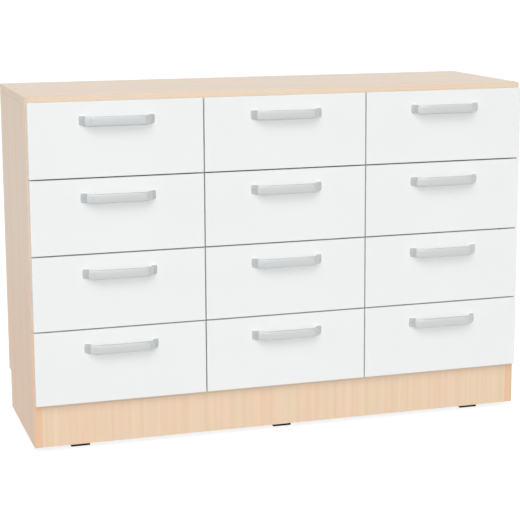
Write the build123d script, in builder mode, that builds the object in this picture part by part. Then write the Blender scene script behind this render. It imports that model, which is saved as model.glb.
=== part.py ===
from build123d import *
import os

os.makedirs("parts", exist_ok=True)

# A free-standing chest of drawers in laminated board. Lengths are in millimetres. The origin is
# on the floor, in the middle of the chest's width and depth. +X is the right-hand side seen from
# the front, +Y the back and +Z up. Drawers are numbered by row from the top and column from the
# left, so r1c1 is the top left drawer.

# Carcass
overall_width = 1200
carcass_depth = 383
columns = 3
rows = 4
board_thickness = 18
plinth_height = 92
ground_gap = 11.5
skirting_notch_depth = 28
skirting_notch_height = 92
band_radius = 1

# Back panel, let into grooves in the boards around it
back_thickness = 3
back_inset = 12
groove_depth = 8
groove_clearance = 0.1

# Drawer fronts, which lie over the carcass's front edges
front_height = 170
front_thickness = 16
front_gap = 3
side_reveal = 3
top_reveal = 12.5
bottom_overlap = 8
front_standoff = 2

# Drawer boxes
box_board = 16
box_floor_clearance = 8
box_top_clearance = 24
base_thickness = 3
base_rise = 12
base_groove_depth = 6

# Full-extension ball-bearing slides, which are made in steps of 50 mm
slide_step = 50
slide_rear_space = 10
slide_setback = 2
slide_space = 12.7
slide_height = 45
slide_rise = 48
slide_wall = 1.2
slide_lip = 1.6
ball_space = 4.3
web_clearance = 1.8
lip_clearance = 2.1
tip_clearance = 1
cage_width = 3
cage_clearance = 0.1
cage_margin = 12

# Bow handles
handle_drop = 42.5
handle_hole_spacing = 160
handle_leg_width = 13
handle_leg_tip = 8
handle_leg_lean = 0.5
handle_height = 21
handle_projection = 28
handle_bow = 2.5
handle_bar = 5.5
handle_outer_bend = 12
handle_inner_bend = 7
handle_edge_radius = 2.2
handle_thread_depth = 12

# Screws: radius of the shank, then the head's radius and height
screw_clearance = 0.05
clearance_hole = 0.25
handle_screw = (1.95, 4, 2.6)
handle_screw_bite = 9
front_screw = (2, 4, 2.4)
front_screw_bite = 12
front_screw_inset = 30
front_screw_rise = 32
runner_screw = (1.75, 3.2, 1.3)
runner_screw_inset = 37
wall_screw_skin = 1
box_screw_skin = 4

# Cam fittings and dowels that hold the boards together
cam_radius = 7.5
cam_depth = 12.5
cam_setback = 24
bolt_radius = 3.5
bolt_thread_radius = 2.9
bolt_thread_length = 11
fitting_clearance = 0.05
fitting_inset = 50
dowel_radius = 4
dowel_face_depth = 11
dowel_edge_depth = 24

# Adjustable legs under the bottom board
leg_side_inset = 109
leg_plinth_gap = 2
leg_rear_inset = 40
foot_size = 45
foot_corner = 5
foot_thickness = 12
foot_travel = 12
foot_gap = 0.3
stem_radius = 15
stem_clearance = 0.1
stem_engagement = 50
socket_radius = 20
leg_flange = 48
leg_flange_thickness = 4
leg_flange_corner = 6
leg_peg_radius = 5
leg_peg_length = 10
foot_edge = 1
stem_length = foot_travel + stem_engagement

# Heights from the floor up
bottom_underside = ground_gap + plinth_height
bottom_top = bottom_underside + board_thickness
fronts_bottom = bottom_top - bottom_overlap
row_pitch = front_height + front_gap
fronts_top = fronts_bottom + rows * row_pitch - front_gap
overall_height = fronts_top + top_reveal
top_underside = overall_height - board_thickness

# Depths, with the handles' tips and the rear edges equally far from the origin
front_reach = front_standoff + front_thickness + handle_projection
carcass_front = (front_reach - carcass_depth) / 2
carcass_rear = carcass_front + carcass_depth
front_rear_face = carcass_front - front_standoff
front_outer_face = front_rear_face - front_thickness
back_rear_face = carcass_rear - back_inset
back_front_face = back_rear_face - back_thickness
depth_inside = back_front_face - carcass_front
slide_length = slide_step * int((depth_inside - slide_setback - slide_rear_space) // slide_step)
slide_start = carcass_front + slide_setback
drawer_travel = slide_length
box_length = slide_start + slide_length - front_rear_face

# Widths
side_inner_x = overall_width / 2 - board_thickness
compartment_width = (overall_width - (columns + 1) * board_thickness) / columns
column_pitch = compartment_width + board_thickness
box_width = compartment_width - 2 * slide_space
box_inner_width = box_width - 2 * box_board
box_lift = bottom_overlap + box_floor_clearance
box_height = front_height - box_lift - box_top_clearance

# Slide members, as distances from the compartment's wall and as heights
middle_back = slide_wall + web_clearance
outer_depth = slide_space - lip_clearance
middle_depth = outer_depth - middle_back
inner_depth = slide_space - middle_back - slide_wall - tip_clearance
middle_height = slide_height - 2 * (slide_wall + ball_space)
inner_height = middle_height - 2 * (slide_wall + ball_space)
cage_centre = (slide_space - inner_depth + outer_depth - slide_wall) / 2
cage_length = slide_length - drawer_travel / 2 - 2 * cage_margin

# Uprights from left to right: their names, and the x of the middle of each board
upright_names = ["side_panel_left"]
upright_names += [f"partition_{number}" for number in range(1, columns)]
upright_names += ["side_panel_right"]
upright_x = [(board_thickness - overall_width) / 2 + index * column_pitch for index in range(columns + 1)]

fitting_y = (carcass_front + fitting_inset, back_front_face - fitting_inset)
dowel_y = (fitting_y[0] + fitting_y[1]) / 2
plinth_y = carcass_front + board_thickness / 2
bottom_middle = bottom_underside + board_thickness / 2


def cam_side(x):
    """The cams open towards the middle of the chest."""
    return 1 if x < 0 else -1


def joint_planes(x, ys, z, thread_direction, cam_direction):
    """Planes on the face where two boards meet: z into the board that takes the bolt's thread."""
    return [Plane((x, y, z), x_dir=cam_direction, z_dir=thread_direction) for y in ys]


# Where the cam bolts cross from one board to the next, and where the dowels do
UP, DOWN = (0, 0, 1), (0, 0, -1)
top_bolts = {}
top_dowels = {}
floor_bolts = {}
floor_dowels = {}
end_bolts = {}
end_dowels = {}
plinth_bolts = {}
for name, x in zip(upright_names, upright_x):
    towards_middle = (cam_side(x), 0, 0)
    outwards = (-cam_side(x), 0, 0)
    top_bolts[name] = joint_planes(x, fitting_y, top_underside, UP, towards_middle)
    top_dowels[name] = joint_planes(x, [dowel_y], top_underside, UP, towards_middle)
    if name.startswith("partition"):
        floor_bolts[name] = joint_planes(x, fitting_y, bottom_top, DOWN, towards_middle)
        floor_dowels[name] = joint_planes(x, [dowel_y], bottom_top, DOWN, towards_middle)
    else:
        inner_face = -cam_side(x) * side_inner_x
        plinth_middle = ground_gap + plinth_height / 2
        end_bolts[name] = joint_planes(inner_face, fitting_y, bottom_middle, outwards, DOWN)
        end_dowels[name] = joint_planes(inner_face, [dowel_y], bottom_middle, outwards, DOWN)
        plinth_bolts[name] = joint_planes(inner_face, [plinth_y], plinth_middle, outwards, (0, 1, 0))
plinth_dowels = [
    Plane((x, plinth_y, bottom_underside), z_dir=UP) for x in (-column_pitch, 0, column_pitch)
]


def in_every(planes_by_name):
    """One flat list of the planes of a dictionary."""
    return [plane for planes in planes_by_name.values() for plane in planes]


def cut_bolt_threads(planes):
    """Blind holes that take the threads of the cam bolts."""
    with Locations(planes):
        Cylinder(bolt_thread_radius + fitting_clearance, bolt_thread_length + fitting_clearance,
                 align=(Align.CENTER, Align.CENTER, Align.MIN), mode=Mode.SUBTRACT)


def cut_cam_seats(planes):
    """Edge bores for the bolts' shafts, and round pockets for the cams."""
    with Locations(planes):
        Cylinder(bolt_radius + fitting_clearance, cam_setback,
                 align=(Align.CENTER, Align.CENTER, Align.MAX), mode=Mode.SUBTRACT)
        with Locations((board_thickness / 2, 0, -cam_setback)):
            Cylinder(cam_radius + fitting_clearance, cam_depth + fitting_clearance, rotation=(0, -90, 0),
                     align=(Align.CENTER, Align.CENTER, Align.MIN), mode=Mode.SUBTRACT)


def cut_dowel_holes(planes, depth, align):
    """Dowel holes in a board's face (MIN) or edge (MAX)."""
    with Locations(planes):
        Cylinder(dowel_radius + fitting_clearance, depth + fitting_clearance,
                 align=(Align.CENTER, Align.CENTER, align), mode=Mode.SUBTRACT)


def add_screws(planes, screw, length):
    """Screws whose heads bear on the planes, pointing along each plane's z."""
    shank_radius, head_radius, head_height = screw
    with Locations(planes):
        Cylinder(shank_radius, length, align=(Align.CENTER, Align.CENTER, Align.MIN))
        Cylinder(head_radius, head_height, align=(Align.CENTER, Align.CENTER, Align.MAX))


def cut_screw_holes(planes, radius, start, depth):
    """Round holes along each plane's z, from start to depth."""
    with Locations(planes):
        with Locations((0, 0, start)):
            Cylinder(radius, depth - start, align=(Align.CENTER, Align.CENTER, Align.MIN),
                     mode=Mode.SUBTRACT)


def channel_section(back_x, middle_z, direction, depth, height, lip):
    """A slide member's section: a web at back_x and two flanges along direction, with lips."""
    near = Align.MIN if direction > 0 else Align.MAX
    far = Align.MAX if direction > 0 else Align.MIN
    with Locations((back_x, middle_z)):
        Rectangle(slide_wall, height, align=(near, Align.CENTER))
    for end, end_align in ((height / 2, Align.MAX), (-height / 2, Align.MIN)):
        with Locations((back_x, middle_z + end)):
            Rectangle(depth, slide_wall, align=(near, end_align))
        if lip > 0:
            with Locations((back_x + direction * depth, middle_z + end)):
                Rectangle(slide_wall, slide_wall + lip, align=(far, end_align))


def slide_middle_z(row):
    """Height of the middle of a row's slides."""
    return front_bottom(row) + box_lift + slide_rise


def front_bottom(row):
    """Height of the lower edge of a row's fronts."""
    return fronts_bottom + (rows - row) * row_pitch


def walls(column):
    """The compartment's two walls: x, and the direction that points into the compartment."""
    left = upright_x[column - 1] + board_thickness / 2
    right = upright_x[column] - board_thickness / 2
    return ((left, 1), (right, -1))


def member_screws(web_face, into, middle_z):
    """Planes on a slide member's web, one near each end, with z along into, 1 or -1 in X."""
    ys = (slide_start + runner_screw_inset, slide_start + slide_length - runner_screw_inset)
    return [Plane((web_face, y, middle_z), z_dir=(into, 0, 0)) for y in ys]


wall_screw_bite = board_thickness / 2 - wall_screw_skin
box_screw_bite = box_board - box_screw_skin
all_wall_screws = []
for row in range(1, rows + 1):
    for column in range(1, columns + 1):
        for wall_x, direction in walls(column):
            all_wall_screws += member_screws(wall_x + direction * slide_wall, -direction,
                                             slide_middle_z(row))

# Back panel
back_left = -side_inner_x - groove_depth + groove_clearance
back_low = bottom_top - groove_depth + groove_clearance
back_high = top_underside + groove_depth - groove_clearance
with BuildPart() as back_panel:
    with BuildSketch(Plane.XZ.offset(-back_rear_face)):
        with Locations((0, (back_low + back_high) / 2)):
            Rectangle(-2 * back_left, back_high - back_low)
    extrude(amount=back_thickness)
back_panel.part.label = "back_panel"
export_step(back_panel.part, "parts/back_panel.step")


def cut_back_groove():
    """The groove that holds the back panel, as the panel with its clearance all round."""
    with Locations((0, (back_front_face + back_rear_face) / 2, (back_low + back_high) / 2)):
        Box(-2 * back_left + 2 * groove_clearance, back_thickness + 2 * groove_clearance,
            back_high - back_low + 2 * groove_clearance, mode=Mode.SUBTRACT)


# Top board, over the sides and partitions
with BuildPart() as top_board:
    with BuildSketch(Plane.XY.offset(top_underside)):
        with Locations((0, (carcass_front + carcass_rear) / 2)):
            Rectangle(overall_width, carcass_depth)
    extrude(amount=board_thickness)
    long_edges = top_board.edges().filter_by(Axis.X).group_by(Axis.Y)[0]
    end_edges = top_board.edges().filter_by(Axis.Y)
    fillet(long_edges + end_edges, radius=band_radius)
    cut_back_groove()
    cut_bolt_threads(in_every(top_bolts))
    cut_dowel_holes(in_every(top_dowels), dowel_face_depth, Align.MIN)
top_board.part.label = "top_board"
export_step(top_board.part, "parts/top_board.step")

# Sides and partitions
for name, x in zip(upright_names, upright_x):
    is_side = name.startswith("side")
    foot_z = ground_gap if is_side else bottom_top
    rear_y = carcass_rear if is_side else back_front_face
    own_screws = [plane for plane in all_wall_screws if abs(plane.origin.X - x) < board_thickness]
    with BuildPart() as upright:
        with BuildSketch(Plane.YZ.offset(x - board_thickness / 2)):
            with Locations(((carcass_front + rear_y) / 2, (foot_z + top_underside) / 2)):
                Rectangle(rear_y - carcass_front, top_underside - foot_z)
            if is_side:
                with Locations((carcass_rear, ground_gap)):
                    Rectangle(skirting_notch_depth, skirting_notch_height,
                              align=(Align.MAX, Align.MIN), mode=Mode.SUBTRACT)
        extrude(amount=board_thickness)
        if is_side:
            cut_back_groove()
            cut_bolt_threads(end_bolts[name] + plinth_bolts[name])
            cut_dowel_holes(end_dowels[name], dowel_face_depth, Align.MIN)
        else:
            cut_cam_seats(floor_bolts[name])
            cut_dowel_holes(floor_dowels[name], dowel_edge_depth, Align.MAX)
        cut_cam_seats(top_bolts[name])
        cut_dowel_holes(top_dowels[name], dowel_edge_depth, Align.MAX)
        cut_screw_holes(own_screws, runner_screw[0] + screw_clearance, slide_wall,
                        slide_wall + wall_screw_bite + screw_clearance)
    upright.part.label = name
    export_step(upright.part, f"parts/{name}.step")

# Places of the legs: the front ones stand close behind the plinth
leg_front_y = carcass_front + board_thickness + leg_plinth_gap + foot_size / 2
leg_rear_y = carcass_rear - skirting_notch_depth - leg_rear_inset
leg_x = overall_width / 2 - leg_side_inset
leg_places = [(x, y) for y in (leg_front_y, leg_rear_y) for x in (-leg_x, 0, leg_x)]

# Bottom board, between the sides
with BuildPart() as bottom_board:
    with BuildSketch(Plane.XY.offset(bottom_underside)):
        with Locations((0, (carcass_front + carcass_rear) / 2)):
            Rectangle(2 * side_inner_x, carcass_depth)
    extrude(amount=board_thickness)
    cut_back_groove()
    cut_cam_seats(in_every(end_bolts))
    cut_dowel_holes(in_every(end_dowels), dowel_edge_depth, Align.MAX)
    cut_bolt_threads(in_every(floor_bolts))
    cut_dowel_holes(in_every(floor_dowels) + plinth_dowels, dowel_face_depth, Align.MIN)
    with BuildSketch(Plane.XY.offset(bottom_underside)):
        with Locations(leg_places):
            Circle(leg_peg_radius + fitting_clearance)
    extrude(amount=leg_peg_length + fitting_clearance, mode=Mode.SUBTRACT)
bottom_board.part.label = "bottom_board"
export_step(bottom_board.part, "parts/bottom_board.step")

# Plinth board, between the sides and flush with their front edges
with BuildPart() as plinth_board:
    with BuildSketch(Plane.XY.offset(ground_gap)):
        with Locations((0, plinth_y)):
            Rectangle(2 * side_inner_x, board_thickness)
    extrude(amount=plinth_height)
    cut_cam_seats(in_every(plinth_bolts))
    cut_dowel_holes(plinth_dowels, dowel_edge_depth, Align.MAX)
plinth_board.part.label = "plinth_board"
export_step(plinth_board.part, "parts/plinth_board.step")

# Cabinet members of the slides, screwed to the walls of every compartment
with BuildPart() as cabinet_slides:
    with BuildSketch(Plane.XZ.offset(-slide_start)):
        for row in range(1, rows + 1):
            for column in range(1, columns + 1):
                for wall_x, direction in walls(column):
                    channel_section(wall_x, slide_middle_z(row), direction, outer_depth, slide_height,
                                    slide_lip)
    extrude(amount=-slide_length)
    cut_screw_holes(all_wall_screws, runner_screw[0] + clearance_hole, 0, slide_wall)
cabinet_slides.part.label = "cabinet_slides"
export_step(cabinet_slides.part, "parts/cabinet_slides.step")

# Legs: sockets pegged into the bottom board, and square feet on stems that screw out of them
socket_foot = foot_thickness + foot_gap
with BuildPart() as leg_sockets:
    with BuildSketch(Plane.XY.offset(socket_foot)):
        with Locations(leg_places):
            Circle(socket_radius)
    extrude(amount=bottom_underside - socket_foot)
    with BuildSketch(Plane.XY.offset(bottom_underside)):
        with Locations(leg_places):
            RectangleRounded(leg_flange, leg_flange, leg_flange_corner)
    extrude(amount=-leg_flange_thickness)
    with BuildSketch(Plane.XY.offset(bottom_underside)):
        with Locations(leg_places):
            Circle(leg_peg_radius)
    extrude(amount=leg_peg_length)
    with BuildSketch(Plane.XY.offset(socket_foot)):
        with Locations(leg_places):
            Circle(stem_radius + stem_clearance)
    extrude(amount=stem_length, mode=Mode.SUBTRACT)
leg_sockets.part.label = "leg_sockets"
export_step(leg_sockets.part, "parts/leg_sockets.step")

with BuildPart() as levelling_feet:
    with BuildSketch(Plane.XY):
        with Locations(leg_places):
            RectangleRounded(foot_size, foot_size, foot_corner)
    extrude(amount=foot_thickness)
    chamfer(levelling_feet.edges().group_by(Axis.Z)[0], length=foot_edge)
    with BuildSketch(Plane.XY.offset(foot_thickness)):
        with Locations(leg_places):
            Circle(stem_radius)
    extrude(amount=stem_length - foot_gap)
levelling_feet.part.label = "levelling_feet"
export_step(levelling_feet.part, "parts/levelling_feet.step")

# Hardware of the carcass. Each kind is built by itself, then gathered with its solids apart.
all_bolts = in_every(top_bolts) + in_every(floor_bolts) + in_every(end_bolts) + in_every(plinth_bolts)
all_dowels = in_every(top_dowels) + in_every(floor_dowels) + in_every(end_dowels) + plinth_dowels
with BuildPart() as cams:
    with Locations(all_bolts):
        with Locations((board_thickness / 2, 0, -cam_setback)):
            Cylinder(cam_radius, cam_depth, rotation=(0, -90, 0),
                     align=(Align.CENTER, Align.CENTER, Align.MIN))
with BuildPart() as bolts:
    with Locations(all_bolts):
        Cylinder(bolt_thread_radius, bolt_thread_length, align=(Align.CENTER, Align.CENTER, Align.MIN))
        Cylinder(bolt_radius, cam_setback - cam_radius - fitting_clearance,
                 align=(Align.CENTER, Align.CENTER, Align.MAX))
with BuildPart() as dowels:
    with Locations(all_dowels):
        Cylinder(dowel_radius, dowel_face_depth, align=(Align.CENTER, Align.CENTER, Align.MIN))
        Cylinder(dowel_radius, dowel_edge_depth, align=(Align.CENTER, Align.CENTER, Align.MAX))
with BuildPart() as wall_screws:
    add_screws(all_wall_screws, runner_screw, slide_wall + wall_screw_bite)
carcass_fittings = Compound(cams.solids() + bolts.solids() + dowels.solids() + wall_screws.solids())
carcass_fittings.label = "carcass_fittings"
export_step(carcass_fittings, "parts/carcass_fittings.step")


def front_span(column):
    """Left and right edges of a column's fronts."""
    left = -overall_width / 2 + side_reveal
    right = overall_width / 2 - side_reveal
    if column > 1:
        left = upright_x[column - 1] + front_gap / 2
    if column < columns:
        right = upright_x[column] - front_gap / 2
    return left, right


def make_drawer(row, column):
    """Builds and writes the four nodes of one drawer."""
    tag = f"r{row}c{column}"
    front_left, front_right = front_span(column)
    front_x = (front_left + front_right) / 2
    low_z = front_bottom(row)
    handle_z = low_z + front_height - handle_drop
    (left_wall, _), (right_wall, _) = walls(column)
    box_x = (left_wall + right_wall) / 2
    box_low = low_z + box_lift
    box_high = box_low + box_height
    middle_z = slide_middle_z(row)
    box_rear = front_rear_face + box_length
    inner_front_face = front_rear_face + box_board

    handle_holes = [
        Plane((front_x + side * handle_hole_spacing / 2, inner_front_face, handle_z), z_dir=(0, -1, 0))
        for side in (-1, 1)
    ]
    front_screws = [
        Plane((box_x + side * (box_inner_width / 2 - front_screw_inset), inner_front_face, z),
              z_dir=(0, -1, 0))
        for side in (-1, 1)
        for z in (box_low + front_screw_rise, box_high - front_screw_rise)
    ]
    box_screws = []
    for wall_x, direction in walls(column):
        box_web = wall_x + direction * (slide_space - slide_wall)
        box_screws += member_screws(box_web, direction, middle_z)

    # Front
    with BuildPart() as drawer_front:
        with BuildSketch(Plane.XZ.offset(-front_rear_face)):
            with Locations((front_x, low_z + front_height / 2)):
                Rectangle(front_right - front_left, front_height)
        extrude(amount=front_thickness)
        fillet(drawer_front.faces().sort_by(Axis.Y)[0].edges(), radius=band_radius)
        cut_screw_holes(handle_holes, handle_screw[0] + clearance_hole, 0, box_board + front_thickness)
        cut_screw_holes(front_screws, front_screw[0] + screw_clearance, box_board,
                        box_board + front_screw_bite + screw_clearance)
    drawer_front.part.label = f"drawer_front_{tag}"
    export_step(drawer_front.part, f"parts/drawer_front_{tag}.step")

    # Handle: a strap bent to a bow on two legs, with the screws that hold it
    half_base = (handle_hole_spacing + handle_leg_width) / 2
    half_bar = half_base - handle_leg_lean
    shoulder = handle_projection - handle_bow
    handle_plane = Plane((front_x, front_outer_face, handle_z), x_dir=(1, 0, 0), z_dir=(0, 0, 1))
    with BuildPart() as handle:
        with BuildSketch(handle_plane):
            with BuildLine():
                Polyline((-half_bar, -shoulder), (-half_base, 0), (handle_leg_width - half_base, 0),
                         (handle_leg_tip - half_bar, handle_bar - shoulder))
                ThreePointArc((handle_leg_tip - half_bar, handle_bar - shoulder),
                              (0, handle_bar - handle_projection),
                              (half_bar - handle_leg_tip, handle_bar - shoulder))
                Polyline((half_bar - handle_leg_tip, handle_bar - shoulder),
                         (half_base - handle_leg_width, 0), (half_base, 0), (half_bar, -shoulder))
                ThreePointArc((half_bar, -shoulder), (0, -handle_projection), (-half_bar, -shoulder))
            make_face()
        extrude(amount=handle_height / 2, both=True)
        fillet(handle.edges().filter_by(Axis.Z).group_by(Axis.Y)[1], radius=handle_inner_bend)
        fillet(handle.edges().filter_by(Axis.Z).group_by(Axis.Y)[0], radius=handle_outer_bend)
        rims = handle.edges().group_by(Axis.Z)
        free_rims = (rims[0] + rims[-1]).filter_by(
            lambda edge: edge.center().Y < front_outer_face - handle_bar / 2)
        fillet(free_rims, radius=handle_edge_radius)
        cut_screw_holes(handle_holes, handle_screw[0] + screw_clearance, box_board + front_thickness,
                        box_board + front_thickness + handle_thread_depth)
    with BuildPart() as handle_screws:
        add_screws(handle_holes, handle_screw, box_board + front_thickness + handle_screw_bite)
    drawer_handle = Compound(handle.solids() + handle_screws.solids())
    drawer_handle.label = f"drawer_handle_{tag}"
    export_step(drawer_handle, f"parts/drawer_handle_{tag}.step")

    # Box: sides over the whole length, the inner front and the back between them
    half_width = box_width / 2
    base_low = box_low + base_rise
    base_width = box_inner_width + 2 * (base_groove_depth - groove_clearance)
    base_front = inner_front_face - base_groove_depth + groove_clearance
    base_rear = box_rear - box_board + base_groove_depth - groove_clearance
    with BuildPart() as base:
        with BuildSketch(Plane.XY.offset(base_low)):
            with Locations((box_x, (base_front + base_rear) / 2)):
                Rectangle(base_width, base_rear - base_front)
        extrude(amount=base_thickness)
    with BuildPart() as base_space:
        with Locations((box_x, (base_front + base_rear) / 2, base_low + base_thickness / 2)):
            Box(base_width + 2 * groove_clearance, base_rear - base_front + 2 * groove_clearance,
                base_thickness + 2 * groove_clearance)
    with BuildPart() as box_sides:
        with BuildSketch(Plane.XY.offset(box_low)):
            for side in (-1, 1):
                with Locations((box_x + side * (half_width - box_board / 2),
                                (front_rear_face + box_rear) / 2)):
                    Rectangle(box_board, box_length)
        extrude(amount=box_height)
        add(base_space.part, mode=Mode.SUBTRACT)
        cut_screw_holes(box_screws, runner_screw[0] + screw_clearance, slide_wall,
                        slide_wall + box_screw_bite + screw_clearance)
    with BuildPart() as box_ends:
        with BuildSketch(Plane.XY.offset(box_low)):
            for y in (front_rear_face + box_board / 2, box_rear - box_board / 2):
                with Locations((box_x, y)):
                    Rectangle(box_inner_width, box_board)
        extrude(amount=box_height)
        add(base_space.part, mode=Mode.SUBTRACT)
        cut_screw_holes(handle_holes, handle_screw[0] + clearance_hole, 0, box_board)
        cut_screw_holes(front_screws, front_screw[0] + clearance_hole, 0, box_board)
    with BuildPart() as box_members:
        with BuildSketch(Plane.XZ.offset(-slide_start)):
            for wall_x, direction in walls(column):
                channel_section(wall_x + direction * slide_space, middle_z, -direction, inner_depth,
                                inner_height, 0)
        extrude(amount=-slide_length)
        cut_screw_holes(box_screws, runner_screw[0] + clearance_hole, 0, slide_wall)
    with BuildPart() as box_fixings:
        add_screws(front_screws, front_screw, box_board + front_screw_bite)
        add_screws(box_screws, runner_screw, slide_wall + box_screw_bite)
    drawer_box = Compound(box_sides.solids() + box_ends.solids() + base.solids()
                          + box_members.solids() + box_fixings.solids())
    drawer_box.label = f"drawer_box_{tag}"
    export_step(drawer_box, f"parts/drawer_box_{tag}.step")

    # Intermediate slide members, with the ball cages that carry them and the drawer members. The
    # outer cages lie in the rear half and the inner ones in the front half, so both stay between
    # two members at every opening of the drawer.
    outer_cage_z = (middle_height + ball_space) / 2
    inner_cage_z = (inner_height + ball_space) / 2
    cage_height = ball_space - 2 * cage_clearance
    rear_start = slide_start + drawer_travel / 2 + cage_margin
    front_start = slide_start + cage_margin
    with BuildPart() as slide_middle:
        with BuildSketch(Plane.XZ.offset(-slide_start)):
            for wall_x, direction in walls(column):
                channel_section(wall_x + direction * middle_back, middle_z, direction, middle_depth,
                                middle_height, slide_lip)
        extrude(amount=-slide_length)
        for cage_start, cage_z in ((rear_start, outer_cage_z), (front_start, inner_cage_z)):
            with BuildSketch(Plane.XZ.offset(-cage_start)):
                for wall_x, direction in walls(column):
                    with Locations((wall_x + direction * cage_centre, middle_z)):
                        with Locations((0, cage_z), (0, -cage_z)):
                            Rectangle(cage_width, cage_height)
            extrude(amount=-cage_length)
    slide_middle.part.label = f"slide_middle_{tag}"
    export_step(slide_middle.part, f"parts/slide_middle_{tag}.step")


for row in range(1, rows + 1):
    for column in range(1, columns + 1):
        make_drawer(row, column)
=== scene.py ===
"""Looks of a twelve-drawer chest of drawers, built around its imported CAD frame."""

import math

import bmesh
import bpy
from bpy.props import FloatProperty, FloatVectorProperty, PointerProperty
from mathutils import Matrix, Vector
from mathutils.geometry import tessellate_polygon


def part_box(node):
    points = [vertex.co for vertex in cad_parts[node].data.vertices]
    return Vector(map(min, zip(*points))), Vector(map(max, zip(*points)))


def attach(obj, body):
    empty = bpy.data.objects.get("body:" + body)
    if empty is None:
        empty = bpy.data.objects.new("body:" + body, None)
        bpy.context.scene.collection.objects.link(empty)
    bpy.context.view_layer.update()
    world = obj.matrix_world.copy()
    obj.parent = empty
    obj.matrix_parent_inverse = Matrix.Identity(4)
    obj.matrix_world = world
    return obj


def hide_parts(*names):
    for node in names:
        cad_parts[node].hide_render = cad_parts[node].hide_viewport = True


bl_info = {
    "name": "Chest of Drawers",
    "version": (1, 0, 0),
    "blender": (4, 5, 0),
    "location": "3D View > Sidebar > Chest",
    "description": "Finishes and fine pieces of a twelve-drawer chest on its CAD frame",
    "category": "Object",
}

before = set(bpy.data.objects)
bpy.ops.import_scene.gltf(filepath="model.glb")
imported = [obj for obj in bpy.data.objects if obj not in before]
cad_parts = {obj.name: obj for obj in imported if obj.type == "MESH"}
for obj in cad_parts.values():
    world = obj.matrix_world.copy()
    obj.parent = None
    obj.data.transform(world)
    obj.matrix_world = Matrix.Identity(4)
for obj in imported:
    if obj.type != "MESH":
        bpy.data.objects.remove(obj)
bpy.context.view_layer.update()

MM = 0.001
TAGS = [f"r{row}c{column}" for row in range(1, 5) for column in range(1, 4)]
UPRIGHTS = ("side_panel_left", "partition_1", "partition_2", "side_panel_right")
HALF_TURN = math.pi
QUARTER = math.pi / 2
UP = Vector((0, 0, 1))
CREASE = math.radians(35)

# Sizes of the CAD in millimetres
HALF_BOARD = 9
HANDLE_RISE = 127.5  # a handle's middle, above its front's lower edge
LEG_WIDTH, LEG_TIP, LEG_LEAN = 13, 8, 0.5  # a handle's leg at its foot and at the bar
HANDLE_BOW = 2.5
OUTER_BEND, INNER_BEND = 12, 7
BOX_HALF, BOX_BOARD = 175.3, 16.0
BASE_GROOVE = 5.9
SLIDE_RISE = 64.0  # the slides' middle, above the front's lower edge
SLIDE_SPACE = 12.7
SLIDE_LENGTH = 350.0
STRIP = 1.2  # the thickness of the slides' steel
SLIDE_SCREWS = (37, 313)  # from a slide's front end
BOLTS_Y = (-118.5, 149.5)
DOWEL_Y = 15.5
PLINTH_DOWELS_X = (-394, 0, 394)
# Screws as (head radius, head height, shank radius, length)
HANDLE_SCREW, BOX_SCREW = (4, 2.6, 1.95, 41), (4, 2.4, 2, 28)
DRAWER_SLIDE_SCREW, CABINET_SLIDE_SCREW = (3.2, 1.3, 1.75, 13.2), (3.2, 1.3, 1.75, 9.2)
FEET_X, FEET_Y = (-491, 0, 491), (-126.0, 146.5)


def colour(code):
    """An sRGB hex colour as linear RGBA."""
    parts = [int(code[i:i + 2], 16) / 255 for i in (0, 2, 4)]
    return (*(v / 12.92 if v <= 0.04045 else ((v + 0.055) / 1.055) ** 2.4 for v in parts), 1.0)


def add_node(tree, kind, inputs=None, **settings):
    """Adds a node with its settings, and links or sets its inputs by name or index."""
    made = tree.nodes.new(kind)
    for name, value in settings.items():
        setattr(made, name, value)
    for key, value in (inputs or {}).items():
        if isinstance(value, bpy.types.NodeSocket):
            tree.links.new(value, made.inputs[key])
        else:
            made.inputs[key].default_value = value
    return made


def maths(tree, operation, *values):
    """The result of a Math node."""
    return add_node(tree, "ShaderNodeMath", dict(enumerate(values)), operation=operation).outputs[0]


def stretched(tree, vector, factors):
    """Coordinates multiplied by a factor along each axis."""
    return add_node(tree, "ShaderNodeVectorMath", {0: vector, 1: factors}, operation="MULTIPLY").outputs[0]


def noise(tree, vector, cell=1.0, detail=2.0, roughness=0.5):
    """The value of a noise whose cells have that size in the vector's unit."""
    return add_node(tree, "ShaderNodeTexNoise", {"Vector": vector, "Scale": 1 / cell, "Detail": detail,
                                                 "Roughness": roughness}).outputs["Fac"]


def spread(tree, value, low, high, start=0.0, end=1.0):
    """A value between start and end mapped to one between low and high."""
    return add_node(tree, "ShaderNodeMapRange", {"Value": value, "From Min": start, "From Max": end,
                                                 "To Min": low, "To Max": high}).outputs["Result"]


def mixed(tree, share, one, two, blend="MIX"):
    """Two colours mixed by a share of the second."""
    return add_node(tree, "ShaderNodeMix", {0: share, 6: one, 7: two}, data_type="RGBA",
                    blend_type=blend).outputs[2]


def between(tree, share, one, two):
    """Two numbers mixed by a share of the second."""
    return add_node(tree, "ShaderNodeMix", {0: share, 2: one, 3: two}).outputs[0]


def shaded(tree, tone, amount):
    """A colour multiplied by an amount."""
    return add_node(tree, "ShaderNodeVectorMath", {0: tone[:3], "Scale": amount},
                    operation="SCALE").outputs[0]


def ramp(tree, value, *stops):
    """A value's colour on a ramp of (position, colour) stops."""
    made = add_node(tree, "ShaderNodeValToRGB", {"Fac": value})
    elements = made.color_ramp.elements
    for element, (position, tone) in zip(elements, (stops[0], stops[-1])):
        element.position, element.color = position, tone
    for position, tone in stops[1:-1]:
        elements.new(position).color = tone
    return made.outputs["Color"]


def blank_material(name):
    """A material with an empty node tree."""
    material = bpy.data.materials.new(name)
    material.use_nodes = True
    material.node_tree.nodes.clear()
    return material


def start_finish(name):
    """A new material, its node tree and the Object coordinates in millimetres."""
    material = blank_material(name)
    tree = material.node_tree
    place = add_node(tree, "ShaderNodeTexCoord").outputs["Object"]
    return material, tree, stretched(tree, place, (1 / MM,) * 3)


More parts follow.
